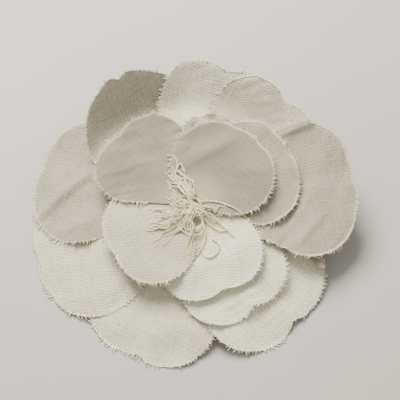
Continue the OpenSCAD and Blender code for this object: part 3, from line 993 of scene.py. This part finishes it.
def build_binding():
    """Turns of darker thread round the neck of the threads, with a knot and a cut tail."""
    t = np.linspace(0, 1, 130)
    turn = t * 2 * math.pi * 4.2
    r = 2.15 + 0.18 * np.sin(turn * 0.37 + 1)
    z = KNOT[2] - 0.5 + 1.1 * t + 0.35 * np.sin(turn)
    wraps = np.stack([KNOT[0] + r * np.cos(turn), KNOT[1] + r * np.sin(turn), z], -1)
    knot = [(-1.2, 1.7, 1.0), (0.2, 2.1, 1.5), (1.5, 1.5, 1.7), (2.3, 0.3, 1.5), (2.7, -1.2, 1.3)]
    knot = np.array([*knot, (3.2, -2.6, 1.0)])
    tail = smooth_line(knot + KNOT, 8)
    lines, radii = [], []
    for line in (wraps, tail):
        plies, sizes = two_ply(line, 0.16, 0.14)
        lines += plies
        radii += sizes
    brown = yarn("binding_yarn", (0.40, 0.30, 0.17))
    made = tube_piece("binding_thread", lines, radii, 5, brown)
    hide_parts("stamen_binding")


# The stem's way from the core to its cut end, as part.scad has it
STEM_ROUTE = [
    (2.2, -0.2, 15.45), (8, -0.7, 15.4), (14, -1.4, 15.1), (20, -2.6, 14.6), (26, -4.4, 13.9),
    (32, -6.8, 13), (38, -10, 12), (43, -13.2, 10.8), (47, -16.3, 9.5), (50.2, -19.2, 8.4), (52.6, -21.5, 7.4),
]
WRAP_R = 1.35
WINDING_R = 0.30
WINDING_PITCH = 0.82


def build_stem():
    line = smooth_line(STEM_ROUTE, 20)
    run = run_along(line)
    places = np.linspace(0, run[-1], 180)
    line = resample(line, run, places)
    radius = (WRAP_R - WINDING_R * 0.8) * (1 + 0.05 * np.sin(places * 1.3) + 0.03 * np.sin(places * 3.1))
    radius = radius * np.clip(0.82 + (run[-1] - places) / 2.0, 0.82, 1)
    paper = paper_wrap("stem_paper", (0.36, 0.305, 0.205))
    sleeve = tube_piece("stem_cover", [line], [radius], 28, paper)
    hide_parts("stem_wrap")
    count = int(run[-1] / WINDING_PITCH * 14)
    spots = np.linspace(0.5, run[-1] - 0.25, count)
    centre = resample(resample(line, places, run), run, spots)
    side, up = line_frames(centre)
    turn = spots / WINDING_PITCH * 2 * math.pi + 0.5 * np.sin(spots * 0.9)
    off = np.interp(spots, places, radius) + WINDING_R * 0.35
    winding = centre + off[:, None] * (side * np.cos(turn)[:, None] + up * np.sin(turn)[:, None])
    thick = WINDING_R * (1 + 0.15 * np.sin(spots * 2.3))
    tan = yarn("stem_yarn", (0.40, 0.335, 0.22), 1.6)
    tube_piece("stem_winding", [winding], [thick], 6, tan)


# ---- Back: felt, glue, keeper strip and clip ----

clip_turn = math.radians(CLIP_AZIMUTH)
turn_cos, turn_sin = math.cos(clip_turn), math.sin(clip_turn)


def at_clip(points):
    """From the clip's own place, lever along X, to the flower's."""
    x, y, z = np.moveaxis(np.asarray(points, float), -1, 0)
    return np.stack([x * turn_cos - y * turn_sin, x * turn_sin + y * turn_cos, z], -1)


felt_low, felt_high = (np.array(corner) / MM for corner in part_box("felt_back"))
FELT_R = (felt_high[0] - felt_low[0]) / 2
FELT_T = felt_high[2] - felt_low[2]
white_felt = felt("white_felt", (0.76, 0.735, 0.67))


def build_felt():
    turns = 120
    angle = ring_angles(turns)
    share = np.r_[np.linspace(0.05, 0.95, 12), 0.985, 1.0, 1.0, 0.985, np.linspace(0.95, 0.05, 12)]
    high = np.r_[np.zeros(12), 0.12, 0.35, 0.65, 0.88, np.ones(12)]
    wave = 1 - 0.012 * (1 + np.sin(7 * angle + 1) + 0.5 * np.sin(17 * angle))
    points = []
    for r, h in zip(share, high):
        dimple = 0.05 * np.sin(angle * 9 + r * 20) * (0 < h < 1)
        ring = FELT_R * r * wave
        z = felt_low[2] + FELT_T * h + dimple
        points.append(np.stack([ring * np.cos(angle), ring * np.sin(angle), z], -1))
    faces = [face[1:] + face[:1] for face in ring_faces(len(share), turns)]
    faces += end_faces(len(share), turns)
    pad = make_piece("felt_disc", np.vstack(points) * MM, faces, white_felt)
    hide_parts("felt_back")
    draw = np.random.default_rng(SEED + 600)
    lines, radii = [], []
    for a in np.sort(draw.uniform(0, 2 * math.pi, 420)):
        out = np.array([math.cos(a), math.sin(a), 0])
        start = out * FELT_R * 0.975 + np.array([0, 0, felt_low[2] + FELT_T * draw.uniform(0.1, 0.9)])
        way = out + np.array([*draw.normal(0, 0.6, 2), draw.normal(0, 0.35)])
        lines.append(np.array([start, start + way * 0.35, start + way * 0.6 + draw.normal(0, 0.12, 3)]))
        radii.append([0.05, 0.04, 0.02])
    fuzz = tube_piece("felt_fuzz", lines, radii, 3, white_felt)


KEEPER_X = -9.0
KEEPER_LEN = 7.0
KEEPER_T = 0.7
# One stitch over the strip's side: along the clip, out from its middle, and height
STITCH = [(0, 5.9, 8.5), (0.1, 6.3, 8.13), (0.25, 7.0, 8.12), (0.35, 7.45, 8.5), (0.4, 7.6, 9.05)]


def build_keeper():
    """The felt strip that holds the upper arm against the back, with its stitches."""
    side_view = [(-7.2, 8.60), (-6.2, 8.58), (-5.2, 8.45), (-4.5, 7.95), (-3.4, 7.74), (0, 7.70),
                 (3.4, 7.74), (4.5, 7.95), (5.2, 8.45), (6.2, 8.58), (7.2, 8.60)]
    line = smooth_line([(y, z, 0) for y, z in side_view], 5)[:, :2]
    normal = np.stack([-np.gradient(line[:, 1]), np.gradient(line[:, 0])], -1)
    normal /= np.linalg.norm(normal, axis=1)[:, None]
    half = KEEPER_LEN / 2
    steps = np.array([-half, -half + 0.15, -half * 0.5, 0, half * 0.5, half - 0.15, half])
    full = np.array([0.6, 1, 1, 1, 1, 1, 0.6]) * KEEPER_T / 2
    rows, columns = len(line), len(steps)
    sheets = []
    for face in (1, -1):
        yz = line[:, None] + face * normal[:, None] * full[None, :, None]
        wave = 0.12 * np.sin(np.arange(rows) * 0.6)[:, None] * np.sign(steps) * (np.abs(steps) > half - 0.2)
        x = KEEPER_X + steps[None] + wave
        sheets.append(at_clip(np.stack([x, yz[..., 0], yz[..., 1]], -1)).reshape(-1, 3))
    count = rows * columns
    faces = grid_faces(rows, columns, 0, True) + grid_faces(rows, columns, count, False)
    border = grid_border(rows, columns)
    for k, here in enumerate(border):
        nxt = border[(k + 1) % len(border)]
        faces.append((nxt, here, here + count, nxt + count))
    faces = [face[::-1] for face in faces]
    strip = make_piece("keeper_felt", np.vstack(sheets) * MM, faces, white_felt)
    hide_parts("clip_keeper_strip")
    lines = []
    for side in (-1, 1):
        for x in np.arange(-2.7, 2.8, 0.9):
            stitch = [(KEEPER_X + x + on, side * y, z) for on, y, z in STITCH]
            lines.append(smooth_line(at_clip(stitch), 5))
    thread = yarn("sewing_thread", (0.74, 0.70, 0.60))
    tube_piece("keeper_stitches", lines, [0.13] * len(lines), 6, thread)


GLUE_PLACES = [(x, side * 5.9) for side in (-1, 1) for x in (1, 12)]
GLUE_R = 1.5


def build_glue():
    """Squashed drops of glue along the upper arm's edges."""
    draw = np.random.default_rng(SEED + 700)
    points, faces, turns = [], [], 32
    angle = ring_angles(turns)
    for x, y in GLUE_PLACES:
        edge = 1 + 0.10 * np.sin(2 * angle + draw.uniform(0, 6))
        edge += 0.05 * np.sin(5 * angle + draw.uniform(0, 6))
        first = len(points) * turns
        profile = [(0.97, 0.0), (1.0, 0.10), (0.93, 0.25), (0.75, 0.38), (0.45, 0.46), (0.12, 0.5)]
        for share, drop in profile:
            r, z = GLUE_R * share * edge, np.full(turns, felt_low[2] - drop)
            points.append(at_clip(np.stack([x + r * np.cos(angle), y + r * np.sin(angle), z], -1)))
        for k in range(len(profile) - 1):
            for m in range(turns):
                here, nxt = first + k * turns + m, first + k * turns + (m + 1) % turns
                faces.append((here, here + turns, nxt + turns, nxt))
        faces += [face[::-1] for face in end_faces(len(profile), turns, first)]
    amber = glue("dried_glue", (0.74, 0.68, 0.50))
    drops = make_piece("glue_drops", np.vstack(points) * MM, faces, amber)
    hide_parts("glue_pad")


pin_low, pin_high = (np.array(corner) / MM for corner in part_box("clip_hinge_pin"))
PIVOT_X = 6.0
PIVOT_Z = (pin_low[2] + pin_high[2]) / 2
SPRING_WIRE_R = 0.34
COIL_R = 1.5
COIL_TURNS = 4
SPRING_LEG = 9.0
COIL_HALF = 1.0
ARM_LEG_Z = 7.75


def build_spring():
    """A torsion spring: a coil on the pin with one leg against each arm. It winds up as the jaw opens."""
    t = np.linspace(0, 1, 40 * COIL_TURNS)
    turn = math.pi / 2 + t * (2 * math.pi * COIL_TURNS + math.pi)
    x, z = PIVOT_X + COIL_R * np.cos(turn), PIVOT_Z + COIL_R * np.sin(turn)
    coil = np.stack([x, COIL_HALF * (1 - 2 * t), z], -1)

    def leg(y, from_z, to_z):
        s = np.linspace(0, 1, 14)[1:]
        return np.stack([PIVOT_X - SPRING_LEG * s, np.full(13, y), from_z + (to_z - from_z) * s], -1)

    first = leg(COIL_HALF, PIVOT_Z + COIL_R, ARM_LEG_Z)[::-1]
    last = leg(-COIL_HALF, PIVOT_Z - COIL_R, PIVOT_Z)
    line = at_clip(np.vstack([first, coil, last]))
    points, faces, _ = tubes([line], [SPRING_WIRE_R], 10)
    spring_steel = steel("spring_steel", (0.36, 0.36, 0.38), 0.34, (900, 900, 900))
    piece = new_object("spring_coil", points * MM, faces, spring_steel)
    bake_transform(piece)
    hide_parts("clip_spring")


def dress_cad_nodes():
    """Materials and softened edges for the CAD parts that show as they are."""
    sheet_steel = steel("clip_steel", (0.62, 0.61, 0.60), 0.30, (60, 2400, 2400))
    pin_steel = steel("pin_steel", (0.55, 0.55, 0.56), 0.25, (1500, 200, 1500))
    wire = steel("stem_wire_steel", (0.22, 0.20, 0.17), 0.5, (700, 700, 700))
    board = card("grey_card", (0.60, 0.57, 0.49))
    for node, material in (
        ("clip_upper_arm", sheet_steel),
        ("clip_lower_jaw", sheet_steel),
        ("clip_hinge_pin", pin_steel),
        ("stem_wire", wire),
        ("card_stiffener", board),
    ):
        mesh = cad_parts[node].data
        mesh.materials.clear()
        mesh.materials.append(material)
    widths = {"clip_upper_arm": 0.16, "clip_lower_jaw": 0.16, "clip_hinge_pin": 0.1, "card_stiffener": 0.15}
    for node, width in widths.items():
        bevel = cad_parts[node].modifiers.new("softened", "BEVEL")
        bevel.width = width * MM
        bevel.segments = 3
        bevel.limit_method = "ANGLE"


build_core()
build_stamens()
build_binding()
build_stem()
build_felt()
build_keeper()
build_glue()
build_spring()
dress_cad_nodes()

# ---- Floor and light ----


def make_floor():
    n = Nodes("floor", (0.355, 0.332, 0.304), 0.75)
    where = n.position()
    mottle = n.noise(where, 9.0, 4.0)
    n.colour(n.mix(n.ramp(mottle, 0.3, 0.7), (0.344, 0.321, 0.294), (0.366, 0.343, 0.314)))
    n.bump(n.noise(where, 700.0, 2.0), 0.02 * MM, 0.3)
    half, low = 1.5, cad_low.z - 0.0001
    corners = [(-half, -half, low), (half, -half, low), (half, half, low), (-half, half, low)]
    new_object("floor", corners, [(0, 1, 2, 3)], n.material, smooth=False)


def area_light(name, place, aim, size, power, colour):
    data = bpy.data.lights.new(name, "AREA")
    data.shape = "DISK"
    data.size = size
    data.energy = power
    data.color = colour
    light = bpy.data.objects.new(name, data)
    light.location = place
    light.rotation_euler = (Vector(aim) - Vector(place)).to_track_quat("-Z", "Y").to_euler()
    bpy.context.scene.collection.objects.link(light)


def make_light():
    world = bpy.data.worlds.new("studio")
    world.use_nodes = True
    background = world.node_tree.nodes["Background"]
    background.inputs["Color"].default_value = (1.0, 0.99, 0.965, 1)
    background.inputs["Strength"].default_value = WORLD_LIGHT
    bpy.context.scene.world = world
    area_light("window", WINDOW_PLACE, (0, 0, 0), WINDOW_SIZE, WINDOW_LIGHT, (1.0, 0.975, 0.92))


WORLD_LIGHT = 0.78
WINDOW_PLACE = (-0.16, 0.36, 0.50)
WINDOW_SIZE = 0.36
WINDOW_LIGHT = 15.0

make_floor()
make_light()
